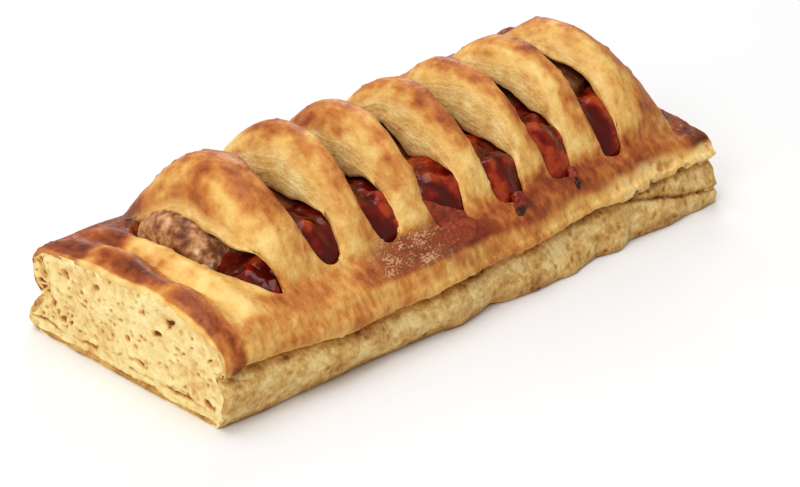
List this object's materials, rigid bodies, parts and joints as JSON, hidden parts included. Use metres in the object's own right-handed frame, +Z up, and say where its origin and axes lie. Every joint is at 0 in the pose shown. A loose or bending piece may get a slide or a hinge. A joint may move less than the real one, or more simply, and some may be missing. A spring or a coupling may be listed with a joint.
{
  "type": "sausage roll",
  "caption": "Puff pastry roll with an arched top cut by slits, showing a sausage and red sauce inside.",
  "frame": {"origin": "under the middle of the roll, on the plane that it rests on", "axes": "+X along the roll towards its closed far end, +Y towards its taller back side, +Z up"},
  "size_m": [0.17, 0.0758, 0.0462],
  "materials": {
    "baked_crust": "golden flaky puff pastry, egg-washed and browned on the ridges, pale layered crumb at the sides",
    "browned_meat": "fried sausage skin, rough and brown",
    "red_sauce": "thick glossy red-brown sauce"
  },
  "bodies": {
    "root": {"pastry": "baked_crust", "sausage": "browned_meat", "sauce": "red_sauce"}
  },
  "joints": []
}
